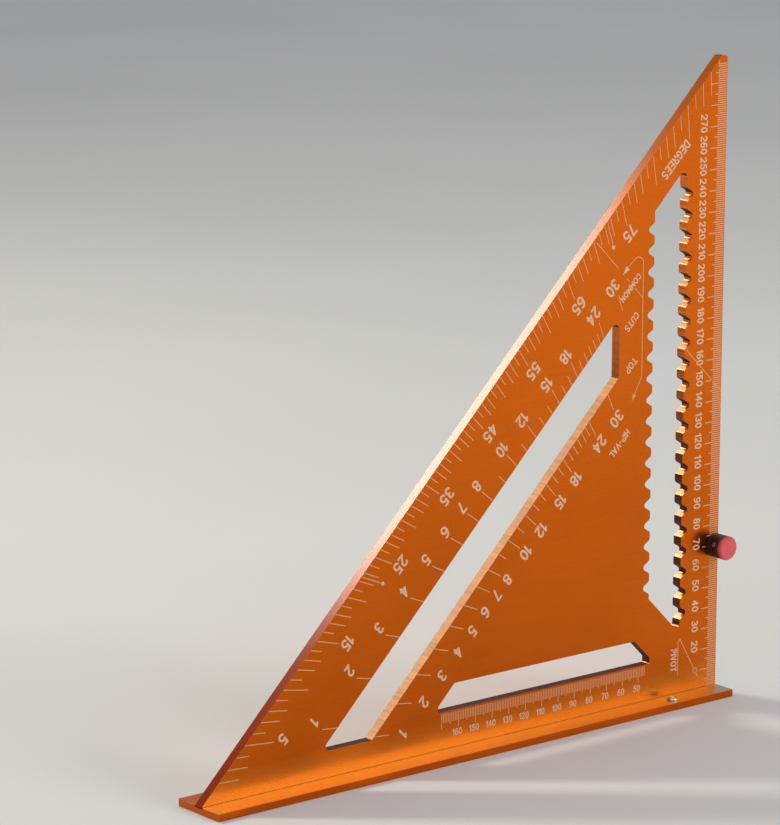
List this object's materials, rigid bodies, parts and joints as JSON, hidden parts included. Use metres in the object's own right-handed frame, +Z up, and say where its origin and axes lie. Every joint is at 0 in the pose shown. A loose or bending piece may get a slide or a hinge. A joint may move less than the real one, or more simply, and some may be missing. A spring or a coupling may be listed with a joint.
{
  "type": "speed square",
  "caption": "Triangular rafter square: slotted flat blade on a wide fence, with a clamp-on edge stop that slides along the upright edge.",
  "frame": {"origin": "middle of the fence's underside, half way along and across it", "axes": "+X along the fence towards the right-angle corner, +Z up the blade's upright edge, -Y out of the front face that carries the main scales"},
  "size_m": [0.3081, 0.0292, 0.3048],
  "materials": {
    "orange_anodised": "brushed and orange anodised",
    "bright_steel": "bright",
    "black_anodised": "satin black anodised",
    "red_anodised": "satin red anodised",
    "black_nylon": "moulded"
  },
  "bodies": {
    "root": {"blade": "orange_anodised", "fence": "orange_anodised", "fence_screw_1": "bright_steel", "fence_screw_2": "bright_steel", "fence_screw_3": "bright_steel", "fence_screw_4": "bright_steel", "fence_screw_5": "bright_steel", "fence_screw_6": "bright_steel", "fence_screw_7": "bright_steel", "fence_screw_8": "bright_steel", "fence_dowel_1": "bright_steel", "fence_dowel_2": "bright_steel", "flange_rivet": "bright_steel"},
    "edge_stop": {"stop_body": "black_anodised", "stop_grub_screw": "bright_steel"},
    "swivel_pad": {"clamp_pad": "black_nylon"},
    "thumb_screw": {"clamp_stud": "bright_steel", "thumb_cap": "red_anodised"}
  },
  "joints": [
    {"name": "stop_slide", "type": "slide", "parent": "root", "child": "edge_stop", "axis": [0, 0, 1], "range_m": [-0.057, 0.22]},
    {"name": "pad_travel", "type": "slide", "parent": "edge_stop", "child": "swivel_pad", "axis": [0, -1, 0], "range_m": [0, 0.0014]},
    {"name": "screw_turn", "type": "hinge", "parent": "swivel_pad", "child": "thumb_screw", "pos_m": [0.15, 0, 0.0722], "axis": [0, -1, 0], "range_deg": [0, 721]}
  ],
  "couplings": [
    {"joint": "screw_turn", "follows": "pad_travel", "rad_per_m": 8976}
  ]
}
